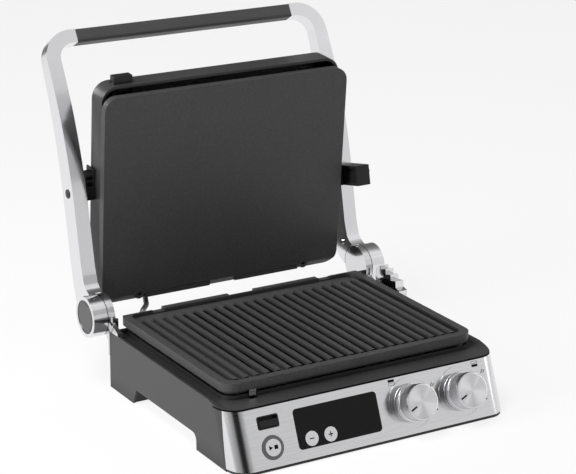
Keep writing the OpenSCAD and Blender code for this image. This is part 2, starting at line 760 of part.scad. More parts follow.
// Stepped rack on the right, in front of the hinge
module step_rack() {
    z0 = wall_top - hinge_z - 18;
    color("silver") placed() at_hinge() difference() {
        side_cut(hw + gap, hw + gap + rack_w) polygon(concat(
            [[-34, z0], [-34, 7.6]],
            [for (i = [0:3]) each [[-34 - i * step_pitch - step_pitch + 0.6, step_top(i) + step_rise(i)],
                [-34 - (i + 1) * step_pitch, step_top(i + 1)]]],
            [[-34 - 4 * step_pitch - 7, step_top(4) - 2], [-34 - 4 * step_pitch - 7, z0]]));
        for (y = [-44, -70]) translate([0, y, z0 + 6]) rod_x(hw - 1, hw + 30, 2.2);
    }
}

// Snap-in bushing in a wall of thickness t whose outer face is at z = 0
module gland(t, bore) {
    difference() {
        union() {
            translate([0, 0, -t - 0.5]) cylinder(h = t + 1, r = gland_r);
            translate([0, 0, gap / 3]) cylinder(h = 2.6, r = gland_r + 3);
            translate([0, 0, -t - 2.6]) cylinder(h = 2.6 - gap / 3, r = gland_r + 1.5);
        }
        translate([0, 0, -10]) cylinder(h = 20, d = bore);
    }
}

module cord_gland() {
    color("black") placed() translate([gland_x, rear_y, gland_z]) rotate([-90, 0, 0]) gland(wall, 7.6);
}

module base_bushing() {
    color("black") placed() translate([sleeve_x, rear_y, sleeve_z]) rotate([-90, 0, 0])
        gland(wall, sleeve_d + 2 * gap);
}

// Tube of n sides along a route
module tube(route, r, n) {
    last = len(route) - 1;
    points = [for (k = [0:last]) each ring(route[k], route[min(k + 1, last)] - route[max(k - 1, 0)], r, n)];
    sides = [for (k = [0:last - 1], i = [0:n - 1]) let (a = k * n + i, b = k * n + (i + 1) % n)
        each [[a, b, a + n], [b, b + n, a + n]]];
    polyhedron(points, concat(sides, [[for (i = [n - 1:-1:0]) i]], [[for (i = [0:n - 1]) last * n + i]]));
}

module wiring_sleeve() {
    color("gray") placed() tube(sleeve_route, sleeve_d / 2, 10);
}

module base_screws() {
    color("silver") placed() at_base_screws() {
        translate([0, 0, 0.1]) cylinder(h = 1.7, r = head_r);
        translate([0, 0, 1.4]) cylinder(h = 2.6, r = screw_r - fit);
    }
}

module stop_collars() {
    color("gray") placed() both_sides() at_hinge() difference() {
        rod_x(barrel_x + 3 + gap, cap_x - 4.5, collar_d / 2);
        rod_x(barrel_x, cap_x, pin_d / 2 + fit);
    }
}

// Side outline of one arm, about the hinge axis
module arm_outline() {
    up = [for (i = [0:7]) 46 + (arm_straight - 46) * i / 7];
    bow = [for (i = [1:10]) i / 10];
    polygon(concat(
        [[8, 21.5], [14, 24.5], [19, 29], [arm_front + 38 * tan(arm_lean) - 1, 38]],
        [for (z = up) [front_at(z), z]],
        [for (t = bow) let (z = arm_straight + (arm_h - arm_straight) * t) [front_at(z), z]],
        [for (i = [10:-1:1]) let (z = arm_straight + (back_h - arm_straight) * i / 10) [back_at(z), z]],
        [for (i = [7:-1:0]) [back_at(up[i]), up[i]]],
        [[arm_back + 30 * tan(arm_lean) - 0.5, 30], [arm_back + 2, 16], [arm_back - 1.5, 6],
            [arm_back - 7, 0.5], [arm_back - 16, -3.5], [18, -7], [0, -7], [0, 20]]));
}

// Frame at the pivot that carries the lid
module at_pivot() {
    at_hinge() translate([0, pivot_y, pivot_z]) children();
}

// Frame of the handle's top: Y goes back through the bar, Z goes up along it
module at_bend() {
    translate([0, arm_top, arm_h]) rotate([-bend_lean, 0, 0]) children();
}

module arm() {
    inner_r = bend_r - grip_t;
    difference() {
        union() {
            difference() {
                side_cut(knuckle_x, knuckle_x + arm_w) arm_outline();
                rod_x(knuckle_x - 1, barrel_x + seam, barrel_r + seam);
            }
            rod_x(barrel_x + seam, cap_x, barrel_r);
            at_bend() {
                top_cut(0, bend_t) difference() {
                    intersection() {
                        translate([grip_x, 0]) circle(bend_r);
                        translate([grip_x, 0]) square(bend_r + 1);
                    }
                    translate([knuckle_x - inner_r, 0]) circle(inner_r);
                }
                translate([grip_len / 2, 0, inner_r]) cube([grip_x - grip_len / 2 + 0.5, bend_t, grip_t]);
            }
        }
        rod_x(barrel_x, cap_x, pin_d / 2 + fit);
        rod_x(barrel_x + 3, cap_x + 1, collar_d / 2 + fit);
        rod_x(cap_x - 4.2, cap_x + 1, cap_r + fit);
        translate([0, pivot_y, pivot_z]) {
            rod_x(knuckle_x - 1, knuckle_x + arm_w + 1, bolt_d / 2 + fit);
            rod_x(knuckle_x + arm_w - 2, knuckle_x + arm_w + 1, 5 + fit);
        }
        translate([0, 30, 20]) rod_x(knuckle_x - 1, knuckle_x + 10, screw_r);
        at_bend() translate([0, bend_t / 2, bend_r - grip_t / 2])
            rod_x(grip_len / 2 - 1, grip_x + 8, core_d / 2 + fit);
    }
}

module left_arm() {
    color("lightgray") placed() at_hinge() mirror([1, 0, 0]) arm();
}

module right_arm() {
    color("lightgray") placed() at_hinge() arm();
}

module handle_grip() {
    color("dimgray") placed() at_hinge() at_bend() difference() {
        translate([fit - grip_len / 2, bend_t / 2, bend_r - grip_t / 2]) rotate([90, 0, 90])
            linear_extrude(grip_len - 2 * fit) rounded(bend_t + 1, grip_t + 0.6, 4);
        translate([0, bend_t / 2, bend_r - grip_t / 2]) rod_x(-grip_len, grip_len, core_d / 2 + fit);
    }
}

module grip_core() {
    color("silver") placed() at_hinge() at_bend() translate([0, bend_t / 2, bend_r - grip_t / 2])
        rod_x(-grip_x - 7.5, grip_x + 7.5, core_d / 2);
}

module barrel_caps() {
    color("dimgray") placed() both_sides() at_hinge() {
        rod_x(cap_x - 4, cap_x - 0.8, cap_r);
        rod_x(cap_x - 4, cap_x - 0.2, cap_r - 2.5);
    }
}

module pivot_bolts() {
    color("silver") placed() both_sides() at_pivot()
        rod_x(housing_w / 2 - 6.8, knuckle_x + arm_w - 2.2, bolt_d / 2);
}

module arm_plugs() {
    color("black") placed() both_sides() at_pivot()
        rod_x(knuckle_x + arm_w - 1.9, knuckle_x + arm_w + 0.6, 5);
}

module arm_screws() {
    color("silver") placed() both_sides() at_hinge() translate([0, 30, 20]) {
        rod_x(knuckle_x - 1.6, knuckle_x - fit, head_r);
        rod_x(knuckle_x - 0.5, knuckle_x + 9.8, screw_r - fit);
    }
}

// Frame along the straight part of the arm
module along_arm() {
    at_hinge() rotate([-arm_lean, 0, 0]) children();
}

module height_slider() {
    x0 = knuckle_x - slider_wall;
    w = arm_w + 2 * slider_wall;
    front = arm_front * cos(arm_lean);
    back = arm_back * cos(arm_lean);
    color("black") placed() along_arm() difference() {
        union() {
            translate([x0, front - slider_wall, slider_low])
                cube([w, back - front + 2 * slider_wall, slider_l]);
            translate([x0 + 5, front - slider_foot, slider_low]) cube([w - 5, slider_foot, slider_l]);
        }
        translate([knuckle_x - gap, front - gap, slider_low - 1])
            cube([arm_w + 2 * gap, back - front + 2 * gap, slider_l + 2]);
        // Recess in the foot's inner side
        translate([x0 + 4, front - slider_foot + 3, slider_low + 3])
            cube([4, slider_foot - slider_wall - 6, slider_l - 6]);
        at_slider_button() rod_x(x0 + w - 5, x0 + w + 1, 3 + fit);
    }
}

// Middle of the slider's round button
module at_slider_button() {
    translate([0, arm_front * cos(arm_lean) - slider_foot + 6, slider_low + slider_l - 8]) children();
}

module slider_button() {
    side = knuckle_x + arm_w + slider_wall;
    color("black") placed() along_arm() at_slider_button() rod_x(side - 2.5, side + 2.6, 3);
}

module pivot_lugs() {
    color("black") placed() both_sides() at_pivot() rotate([lid_lean, 0, 0]) {
        x0 = housing_w / 2 + gap;
        x1 = knuckle_x - gap;
        difference() {
            union() {
                translate([x0, -9, -lug_r]) cube([x1 - x0, 18, 2 * lug_r]);
                translate([x0, -9, -lug_r]) cube([2, 18, 34]);
            }
            rod_x(x0 - 1, x1 + 1, bolt_d / 2 + fit);
        }
        for (z = [13, 19]) translate([x0 + 1, -8, z]) cube([x1 - x0 - 1, 16, 2.2]);
    }
}

// Frame of the lid: the upper plate's face is z = 0 and looks along +Z, the hinge side is +Y
module at_lid() {
    translate([0, lid_y, lid_z]) rotate([lid_lean - 90, 0, 0]) rotate([0, 180, 0]) children();
}

module lid_housing() {
    color("dimgray") placed() difference() {
        union() {
            at_lid() difference() {
                translate([0, housing_mid, 0])
                    slab(housing_w, housing_d, housing_r, -housing_far, housing_far - housing_near);
                translate([0, housing_mid, 0]) slab(housing_w - 2 * wall, housing_d - 2 * wall,
                    housing_r - wall, wall - housing_far, housing_far);
                translate([lid_latch_x - 11.3, -housing_high - 1, lid_latch_z - 5.3])
                    cube([22.6, wall + 2, 10.6]);
                translate([lid_sleeve_x, 0, -lid_sleeve_depth]) rotate([-90, 0, 0])
                    cylinder(h = 200, r = gland_r + fit);
                at_lid_screws() translate([0, 0, -1]) cylinder(h = wall + 2, r = screw_r);
            }
            // Bosses for the pivot bolts
            both_sides() at_pivot()
                rod_x(housing_w / 2 - 7.4, housing_w / 2 - 0.1, bolt_d / 2 + 4);
        }
        at_pivot() rod_x(-200, 200, bolt_d / 2 + fit);
    }
}

// Outer face of the lid housing at the four screws of the steel cover
module at_lid_screws() {
    for (x = [-1, 1], y = [-1, 1]) translate([x * lid_screw_x, y * lid_screw_y, -housing_far]) children();
}

module lid_cover() {
    w = housing_w - 16;
    d = housing_d - 18;
    color("silver") placed() at_lid() translate([0, housing_mid, 0]) difference() {
        union() {
            slab(w, d, housing_r - 2, 5 - cover_far, cover_far - housing_far - 5);
            slab(w - 8, d - 8, housing_r - 6, -cover_far, 6);
        }
        slab(w - 2 * cover_t, d - 2 * cover_t, housing_r - 2 - cover_t, 5 + cover_t - cover_far, cover_far);
        slab(w - 8 - 2 * cover_t, d - 8 - 2 * cover_t, housing_r - 6 - cover_t, cover_t - cover_far, 10);
    }
}

module upper_plate() {
    color("darkslategray") placed() at_lid() {
        plate_body();
        // Round hooks at the rear edge
        both_sides() translate([hook_x, hook_y, -5]) difference() {
            cylinder(h = 5.8, r = hook_r);
            translate([0, 0, 2]) cylinder(h = 5, r = hook_r - 3.4);
        }
    }
}

module upper_heater() {
    color("slategray") placed() at_lid() translate([0, well_y, -plate_t - heater_drop])
        mirror([0, 0, 1]) heater_loop(well_w - 60, well_d - 44);
}

module upper_reflector() {
    color("silver") placed() at_lid() translate([0, well_y, -plate_t - leg_h - 1 - fit])
        reflector_tray(housing_far - wall - plate_t - leg_h - 1 - gap, 3.5, heater_drop - leg_h - 1 - fit);
}

module lid_latch() {
    color("black") placed() at_lid() translate([lid_latch_x, -housing_high, lid_latch_z]) {
        translate([-11, -8.5, -5]) cube([22, 15, 10]);
        translate([-7, 5, 1]) cube([14, 4, 4]);
    }
}

module latch_guides() {
    color("gray") placed() at_lid() translate([lid_latch_x, -housing_high + wall + gap, lid_latch_z]) {
        for (x = [-12.9, 11.3]) translate([x, 0, -9.7]) cube([1.6, 12, 15]);
        translate([-12.9, 0, -9.7]) cube([25.8, 12, 2.4]);
    }
}

module lid_terminals() {
    color("ivory") placed() at_lid() for (x = [-1, 1])
        translate([x * (well_w - 60) * 3 / 8 - 6, well_d / 2 + 2, wall + gap - housing_far])
            cube([12, 7, 18]);
}

module lid_screws() {
    color("silver") placed() at_lid() at_lid_screws() {
        translate([0, 0, -2.2]) cylinder(h = 2.1, r = head_r);
        translate([0, 0, -0.5]) cylinder(h = wall, r = screw_r - fit);
    }
}

module lid_bushing() {
    color("black") placed() at_lid() translate([lid_sleeve_x, housing_low, -lid_sleeve_depth])
        rotate([-90, 0, 0]) gland(wall, sleeve_d + 2 * gap);
}

base_shell();
bottom_plate();
front_panel();
display_window();
display_board();
minus_button();
plus_button();
start_button();
start_ring();
release_button();
release_frame();
plate_latch();
left_knob();
right_knob();
knob_collars();
thermostats();
control_board();
lower_plate();
lower_heater();
lower_reflector();
plate_sensor();
drip_tray();
tray_rails();
rubber_feet();
hinge_brackets();
hinge_pins();
step_rack();
cord_gland();
wiring_sleeve();
base_bushing();
base_screws();
stop_collars();
left_arm();
right_arm();
handle_grip();
grip_core();
barrel_caps();
pivot_bolts();
arm_plugs();
arm_screws();
height_slider();
slider_button();
pivot_lugs();
lid_housing();
lid_cover();
upper_plate();
upper_heater();
upper_reflector();
lid_latch();
latch_guides();
lid_terminals();
lid_screws();
lid_bushing();
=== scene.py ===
# %% [markdown]
# # An electric grill with an open lid
# This lesson dresses a countertop grill: a ribbed lower plate, a lid that hangs between two cast arms, and a
# steel control panel. The shapes that work come from a construction model. Here they get finishes, soft edges
# and the small details that make them look made of metal and moulded plastic.

# %% Load the construction model
import json
import math

import bmesh
import bpy
from mathutils import Matrix, Vector


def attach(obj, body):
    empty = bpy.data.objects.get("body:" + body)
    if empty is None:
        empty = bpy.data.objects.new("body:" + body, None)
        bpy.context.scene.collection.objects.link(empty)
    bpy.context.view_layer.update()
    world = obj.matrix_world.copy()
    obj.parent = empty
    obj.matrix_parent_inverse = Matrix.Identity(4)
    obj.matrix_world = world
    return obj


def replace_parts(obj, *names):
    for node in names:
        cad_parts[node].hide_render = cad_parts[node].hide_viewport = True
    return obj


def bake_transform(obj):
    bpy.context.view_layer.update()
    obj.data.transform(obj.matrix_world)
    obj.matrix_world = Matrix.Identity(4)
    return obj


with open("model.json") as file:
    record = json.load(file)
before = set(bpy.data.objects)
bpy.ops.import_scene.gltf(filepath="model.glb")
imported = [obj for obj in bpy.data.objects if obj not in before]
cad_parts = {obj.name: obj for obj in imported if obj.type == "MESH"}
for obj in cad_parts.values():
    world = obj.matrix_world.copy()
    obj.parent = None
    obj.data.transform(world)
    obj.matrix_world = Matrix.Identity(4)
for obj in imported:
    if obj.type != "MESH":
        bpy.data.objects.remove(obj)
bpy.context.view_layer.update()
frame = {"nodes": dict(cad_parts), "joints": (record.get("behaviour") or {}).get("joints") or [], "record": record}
joints = {joint["name"]: joint for joint in frame["joints"]}
print("pieces in the model:", len(frame["nodes"]))

# %% [markdown]
# Every size below is in metres, but a maker thinks of a grill in millimetres. One constant does the change, so
# that a number in the script reads as it would on a drawing.

# %% Units and places taken from the model
MM = 0.001
hinge = Vector(joints["handle_close"]["pos_m"])
panel_in = Vector(joints["left_knob_turn"]["axis"])
left_knob_foot = Vector(joints["left_knob_turn"]["pos_m"])
right_knob_foot = Vector(joints["right_knob_turn"]["pos_m"])
print("hinge axis at", [round(v, 4) for v in hinge])

# %% [markdown]
# The camera of a product photograph stands far off with a long lens, so that edges stay nearly parallel. Its
# place was worked out from the corners of the plates: how far it is turned, how high it looks down from, and how
# far away it stands. From those three values the script builds the camera's own right, up and back directions.

# %% Camera
CAMERA_AZIMUTH = math.radians(-31.02)
CAMERA_HEIGHT = math.radians(18.275)
CAMERA_ROLL = math.radians(0.401)
CAMERA_LENS = 132.52
CAMERA_ACROSS = -6.67 * MM
CAMERA_RISE = 91.2 * MM
CAMERA_DISTANCE = 2250.1 * MM
PLATE_MIDDLE = Vector((0, -36.99 * MM, 79 * MM))

back = Vector((
    math.sin(CAMERA_AZIMUTH) * math.cos(CAMERA_HEIGHT),
    -math.cos(CAMERA_AZIMUTH) * math.cos(CAMERA_HEIGHT),
    math.sin(CAMERA_HEIGHT),
))
level = Vector((0, 0, 1)).cross(back).normalized()
raised = back.cross(level)
right = level * math.cos(CAMERA_ROLL) + raised * math.sin(CAMERA_ROLL)
up = raised * math.cos(CAMERA_ROLL) - level * math.sin(CAMERA_ROLL)
camera = bpy.data.objects.new("camera", bpy.data.cameras.new("camera"))
bpy.context.scene.collection.objects.link(camera)
camera.data.lens = CAMERA_LENS
camera.data.sensor_width = 36
camera.data.clip_end = 60
camera.location = PLATE_MIDDLE + right * CAMERA_ACROSS + up * CAMERA_RISE + back * CAMERA_DISTANCE
camera.matrix_world = Matrix.Translation(camera.location) @ Matrix((right, up, back)).transposed().to_4x4()
bpy.context.scene.camera = camera
print("camera at", [round(v, 3) for v in camera.location])

# %% [markdown]
# A finish in Blender is a graph of nodes. These helpers keep the graphs short: one makes an empty finish, one
# adds a noise that can be stretched, and others turn a noise into relief, gloss or shade. The noise is read in
# the object's own space, so that it stays in place when the piece moves.

# %% Helpers for finishes
class Finish:
    """A material and the few node steps that every finish here is made of."""

    def __init__(self, name, colour, roughness, metallic=0.0):
        self.material = bpy.data.materials.new(name)
        self.material.use_nodes = True
        self.tree = self.material.node_tree
        self.shader = self.tree.nodes["Principled BSDF"]
        self.shader.inputs["Base Color"].default_value = (*colour, 1)
        self.shader.inputs["Roughness"].default_value = roughness
        self.shader.inputs["Metallic"].default_value = metallic
        self.space = self.tree.nodes.new("ShaderNodeTexCoord")
        self.relief = None

    def set(self, **sockets):
        for name, value in sockets.items():
            self.shader.inputs[name.replace("_", " ")].default_value = value
        return self

    def noise(self, scale, detail=3.0, stretch=(1, 1, 1), turn=(0, 0, 0)):
        mapping = self.tree.nodes.new("ShaderNodeMapping")
        mapping.inputs["Scale"].default_value = stretch
        mapping.inputs["Rotation"].default_value = turn
        self.tree.links.new(self.space.outputs["Object"], mapping.inputs["Vector"])
        noise = self.tree.nodes.new("ShaderNodeTexNoise")
        noise.inputs["Scale"].default_value = scale
        noise.inputs["Detail"].default_value = detail
        self.tree.links.new(mapping.outputs["Vector"], noise.inputs["Vector"])
        return noise.outputs["Fac"]

    def spread(self, source, low, high, source_low=0.3, source_high=0.7):
        ramp = self.tree.nodes.new("ShaderNodeMapRange")
        ramp.inputs["From Min"].default_value = source_low
        ramp.inputs["From Max"].default_value = source_high
        ramp.inputs["To Min"].default_value = low
        ramp.inputs["To Max"].default_value = high
        self.tree.links.new(source, ramp.inputs["Value"])
        return ramp.outputs["Result"]

    def shade(self, source, dark, light):
        mix = self.tree.nodes.new("ShaderNodeMix")
        mix.data_type = "RGBA"
        mix.inputs["A"].default_value = (*dark, 1)
        mix.inputs["B"].default_value = (*light, 1)
        self.tree.links.new(source, mix.inputs["Factor"])
        self.tree.links.new(mix.outputs["Result"], self.shader.inputs["Base Color"])
        return self

    def paint_occlusion_shade(self, distance, darkest, low=0.35, high=0.85):
        """Paint shade into the colour: darken what lies deep in a groove or close under another piece, as occlusion
        finds it.
        """
        nearby = self.tree.nodes.new("ShaderNodeAmbientOcclusion")
        nearby.samples = 8
        nearby.inputs["Distance"].default_value = distance
        amount = self.spread(nearby.outputs["AO"], darkest, 1, low, high)
        mix = self.tree.nodes.new("ShaderNodeMix")
        mix.data_type = "RGBA"
        mix.blend_type = "MULTIPLY"
        mix.inputs["Factor"].default_value = 1
        colour = self.shader.inputs["Base Color"]
        self.tree.links.new(colour.links[0].from_socket, mix.inputs["A"])
        self.tree.links.new(amount, mix.inputs["B"])
        self.tree.links.new(mix.outputs["Result"], colour)
        return self

    def gloss(self, source, low, high):
        self.tree.links.new(self.spread(source, low, high), self.shader.inputs["Roughness"])
        return self

    def bump(self, source, strength, distance):
        bump = self.tree.nodes.new("ShaderNodeBump")
        bump.inputs["Strength"].default_value = strength
        bump.inputs["Distance"].default_value = distance
        self.tree.links.new(source, bump.inputs["Height"])
        if self.relief is not None:
            self.tree.links.new(self.relief, bump.inputs["Normal"])
        self.relief = bump.outputs["Normal"]
        self.tree.links.new(self.relief, self.shader.inputs["Normal"])
        return self


def grey(value):
    """A neutral colour, a shade cooler than pure grey."""
    return (value, value, value * 1.02)


print("finish helpers ready")

# %% [markdown]
# The base and the lid are moulded in a dark plastic that stands heat. Its mould is spark-eroded, which leaves a
# fine grain, so the finish has a small, close relief and a gloss that drifts a little from place to place.

# %% Moulded housing plastic
def housing_plastic():
    made = Finish("housing_plastic", grey(0.04), 0.42)
    drift = made.noise(9, 2)
    made.shade(made.spread(drift, 0, 1), grey(0.034), grey(0.046))
    # Painted shade: the colour darkens where another piece lies within 30 mm, as on the deck round the plate well.
    made.paint_occlusion_shade(30 * MM, 0.2)
    made.gloss(drift, 0.38, 0.47)
    made.bump(made.noise(2600, 2), 0.22, 0.06 * MM)
    made.set(Specular_IOR_Level=0.4)
    return made.material


def black_plastic():
    made = Finish("black_plastic", grey(0.012), 0.36)
    drift = made.noise(20, 2)
    made.shade(made.spread(drift, 0, 1), grey(0.01), grey(0.015))
    made.gloss(drift, 0.32, 0.42)
    made.bump(made.noise(1900, 2), 0.12, 0.05 * MM)
    made.set(Specular_IOR_Level=0.25)
    return made.material


print("moulded finishes ready")

# %% [markdown]
# The cooking plates are cast aluminium under a dark non-stick coat. Such a coat is sprayed, so it is faintly
# pebbled, and mineral specks in it catch the light. A coarse and a fine relief on top of each other give that.

# %% Non-stick coat
def plate_coat():
    made = Finish("plate_coat", grey(0.05), 0.42)
    specks = made.noise(1500, 2)
    made.shade(made.spread(specks, 0, 1, 0.45, 0.75), grey(0.044), grey(0.1))
    # Painted shade: the grooves between the ribs and other hollows within 9 mm are darker in the colour.
    made.paint_occlusion_shade(9 * MM, 0.12)
    made.set(Specular_IOR_Level=0.35)
    made.gloss(made.noise(35, 3), 0.36, 0.46)
    made.bump(made.noise(420, 3), 0.18, 0.12 * MM)
    made.bump(specks, 0.3, 0.07 * MM)
    return made.material


print("plate coat ready")

# %% [markdown]
# Brushed steel is scratched in one direction by an abrasive belt. The scratches are long noise: the same noise,
# squeezed across the belt's direction and stretched along it. They drive the gloss and a very low relief.

# %% Brushed steel and plated steel
def brushed(name, colour, roughness, along, strength):
    made = Finish(name, grey(colour), roughness, 1.0)
    stretch = {"x": (1, 90, 90), "y": (90, 1, 90), "z": (90, 90, 1)}[along]
    scratches = made.noise(26, 5, stretch)
    made.shade(made.spread(scratches, 0, 1), grey(colour * 0.9), grey(min(1, colour * 1.08)))
    made.gloss(scratches, roughness - 0.03, roughness + 0.04)
    made.bump(scratches, strength, 0.03 * MM)
    made.set(Anisotropic=0.5)
    return made.material


def plated(name, colour, low, high):
    made = Finish(name, grey(colour), (low + high) / 2, 1.0)
    made.gloss(made.noise(60, 3), low, high)
    made.bump(made.noise(300, 2), 0.05, 0.05 * MM)
    return made.material


print("metal finishes ready")

# %% [markdown]
# The two arms are cast in aluminium, ground smooth and clear-coated. Cast metal is never quite flat, so a wide,
# low noise bends its reflections, while a fine one stands for the satin of the grinding.

# %% Cast arms and turned knobs
def arm_metal():
    made = Finish("arm_metal", grey(0.8), 0.14, 1.0)
    made.gloss(made.noise(45, 3), 0.12, 0.17)
    made.bump(made.noise(14, 1), 0.02, 0.4 * MM)
    made.bump(made.noise(1400, 2), 0.08, 0.03 * MM)
    return made.material


def knob_metal():
    made = Finish("knob_metal", grey(0.76), 0.24, 1.0)
    made.gloss(made.noise(120, 3), 0.2, 0.28)
    made.bump(made.noise(1500, 2), 0.06, 0.02 * MM)
    return made.material


print("cast and turned finishes ready")

# %% [markdown]
# The rest of the finishes are small variations: a soft grip, rubber feet, the tinted window, boards and resin
# inside. Each still has its own grain and gloss, since hidden pieces show when the lid opens or the tray slides.

# %% Grip, caps, window, rubber and inside pieces
def moulded(name, colour, low, high, grain, relief):
    made = Finish(name, colour, (low + high) / 2)
    drift = made.noise(24, 2)
    darker = tuple(c * 0.9 for c in colour)
    made.shade(made.spread(drift, 0, 1), darker, colour)
    made.gloss(drift, low, high)
    made.bump(made.noise(grain, 2), relief, 0.05 * MM)
    return made.material


def window_black():
    made = Finish("window_black", grey(0.009), 0.2)
    made.gloss(made.noise(14, 2), 0.17, 0.23)
    made.bump(made.noise(30, 1), 0.01, 0.2 * MM)
    made.set(Specular_IOR_Level=0.12)
    return made.material


def board_green():
    made = Finish("board_green", (0.01, 0.1, 0.04), 0.3)
    tracks = made.noise(240, 1, (1, 4, 4))
    made.shade(made.spread(tracks, 0, 1, 0.52, 0.55), (0.01, 0.09, 0.035), (0.03, 0.17, 0.07))
    made.bump(tracks, 0.3, 0.05 * MM)
    return made.material


finishes = {
    "housing_plastic": housing_plastic(),
    "black_plastic": black_plastic(),
    "window_black": window_black(),
    "panel_steel": brushed("panel_steel", 0.74, 0.16, "x", 0.05),
    "arm_metal": arm_metal(),
    "knob_metal": knob_metal(),
    "plate_coat": plate_coat(),
    "grip_plastic": moulded("grip_plastic", grey(0.042), 0.42, 0.5, 1700, 0.14),
    "cap_plastic": moulded("cap_plastic", grey(0.07), 0.4, 0.48, 1700, 0.1),
    "bracket_steel": plated("bracket_steel", 0.72, 0.1, 0.16),
    "ring_grey": plated("ring_grey", 0.16, 0.25, 0.35),
    "cover_steel": brushed("cover_steel", 0.6, 0.3, "x", 0.1),
    "reflector_metal": plated("reflector_metal", 0.7, 0.2, 0.3),
    "heater_steel": plated("heater_steel", 0.16, 0.4, 0.55),
    "screw_steel": plated("screw_steel", 0.6, 0.2, 0.28),
    "board_green": board_green(),
    "thermostat_resin": moulded("thermostat_resin", (0.42, 0.33, 0.22), 0.5, 0.6, 900, 0.2),
    "sensor_brass": moulded("sensor_brass", (0.6, 0.42, 0.14), 0.3, 0.4, 900, 0.1),
    "ceramic": moulded("ceramic", (0.78, 0.76, 0.69), 0.25, 0.35, 500, 0.1),
    "rubber": moulded("rubber", grey(0.02), 0.7, 0.85, 1200, 0.25),
    "sleeve_grey": moulded("sleeve_grey", grey(0.34), 0.5, 0.6, 900, 0.2),
}
print("finishes:", len(finishes))

# %% [markdown]
# The record that comes with the model says which finish every piece takes. A loop puts each finish on its piece,
# so that no piece can be forgotten.

# %% Dress every piece of the model
slot_of = {part["node"]: part["material_slot"] for part in frame["record"]["subparts"]}
for name, piece in frame["nodes"].items():
    piece.data.materials.clear()
    piece.data.materials.append(finishes[slot_of[name]])
print("dressed:", len(slot_of))

# %% [markdown]
# No edge of a real product is perfectly sharp, and it is the thin highlight along each edge that makes a render
# look solid. The model's flat faces are cut into triangles, so its points are welded and the flat triangles
# joined before a Bevel rounds the edges. A small group of nodes then shades curved walls as smooth.

# %% Soft edges
# Degrees between two faces: smooth below the first, joined as flat below the second, rounded above the third
SMOOTH_BELOW = 32
FLAT_BELOW = 0.5
ROUND_ABOVE = 35
WELD_DISTANCE = 0.02 * MM


def smooth_by_angle():
    group = bpy.data.node_groups.new("smooth_by_angle", "GeometryNodeTree")
    group.interface.new_socket("Geometry", in_out="INPUT", socket_type="NodeSocketGeometry")
    group.interface.new_socket("Geometry", in_out="OUTPUT", socket_type="NodeSocketGeometry")
    start = group.nodes.new("NodeGroupInput")
    end = group.nodes.new("NodeGroupOutput")
    bare = group.nodes.new("GeometryNodeRemoveAttribute")
    bare.inputs["Name"].default_value = "custom_normal"
    faces = group.nodes.new("GeometryNodeSetShadeSmooth")
    faces.domain = "FACE"
    angle = group.nodes.new("GeometryNodeInputMeshEdgeAngle")
    flat = group.nodes.new("FunctionNodeCompare")
    flat.data_type = "FLOAT"
    flat.operation = "LESS_EQUAL"
    flat.inputs["B"].default_value = math.radians(SMOOTH_BELOW)
    edges = group.nodes.new("GeometryNodeSetShadeSmooth")
    edges.domain = "EDGE"
    link = group.links.new
    link(start.outputs[0], bare.inputs["Geometry"])
    link(bare.outputs["Geometry"], faces.inputs["Geometry"])
    link(faces.outputs["Geometry"], edges.inputs["Geometry"])
    link(angle.outputs["Unsigned Angle"], flat.inputs["A"])
    link(flat.outputs["Result"], edges.inputs["Shade Smooth"])
    link(edges.outputs["Geometry"], end.inputs[0])
    return group


SMOOTHING = smooth_by_angle()


def soften(piece, width, segments=2):
    weld = piece.modifiers.new("weld", "WELD")
    weld.merge_threshold = WELD_DISTANCE
    flatten = piece.modifiers.new("flatten", "DECIMATE")
    flatten.decimate_type = "DISSOLVE"
    flatten.angle_limit = math.radians(FLAT_BELOW)
    bevel = piece.modifiers.new("bevel", "BEVEL")
    bevel.width = width
    bevel.segments = segments
    bevel.limit_method = "ANGLE"
    bevel.angle_limit = math.radians(ROUND_ABOVE)
    bevel.miter_outer = "MITER_ARC"
    smooth = piece.modifiers.new("smooth", "NODES")
    smooth.node_group = SMOOTHING
    weighted = piece.modifiers.new("weighted", "WEIGHTED_NORMAL")
    weighted.keep_sharp = True


EDGE_WIDTHS = {
    "base_shell": 0.5, "front_panel": 0.35, "display_window": 0.3, "start_ring": 0.2, "start_button": 0.25,
    "minus_button": 0.25, "plus_button": 0.25, "release_button": 0.5, "release_frame": 0.25, "knob_collars": 0.2,
    "lower_plate": 0.7, "upper_plate": 2.2, "drip_tray": 0.5,
    "rubber_feet": 0.3, "hinge_brackets": 0.5, "step_rack": 0.4, "left_arm": 1.0, "right_arm": 1.0,
    "handle_grip": 0.5, "barrel_caps": 0.4, "height_slider": 0.8, "slider_button": 0.8, "pivot_lugs": 0.6,
    "lid_housing": 1.0, "lid_cover": 0.8, "lid_latch": 0.7, "bottom_plate": 0.2, "cord_gland": 0.4,
}
for name, width in EDGE_WIDTHS.items():
    soften(frame["nodes"][name], width * MM)
print("softened:", len(EDGE_WIDTHS))

# %% [markdown]
# The steel panel leans back by 23 degrees. Small things on it are easier to place in the panel's own terms: how far
# across, how far up the slope, and how far out from the face. One function turns these three into a place.

# %% Places on the panel
panel_out = -panel_in
panel_up = panel_out.cross(Vector((1, 0, 0)))
KNOB_UP = 31.5
LEFT_KNOB_ACROSS = 47.5
RIGHT_KNOB_ACROSS = 109
panel_foot = left_knob_foot - Vector((LEFT_KNOB_ACROSS * MM, 0, 0)) - panel_up * KNOB_UP * MM


def on_panel(across, upward, out=0.0):
    return panel_foot + Vector((across * MM, 0, 0)) + panel_up * upward * MM + panel_out * out * MM


def add_mesh(name, points, faces, finish):
    mesh = bpy.data.meshes.new(name)
    mesh.from_pydata([tuple(point) for point in points], [], faces)
    work = bmesh.new()
    work.from_mesh(mesh)
    bmesh.ops.remove_doubles(work, verts=work.verts, dist=0.000001)
    bmesh.ops.recalc_face_normals(work, faces=work.faces)
    work.to_mesh(mesh)
    work.free()
    mesh.materials.append(finish)
    made = bpy.data.objects.new(name, mesh)
    bpy.context.scene.collection.objects.link(made)
    return made


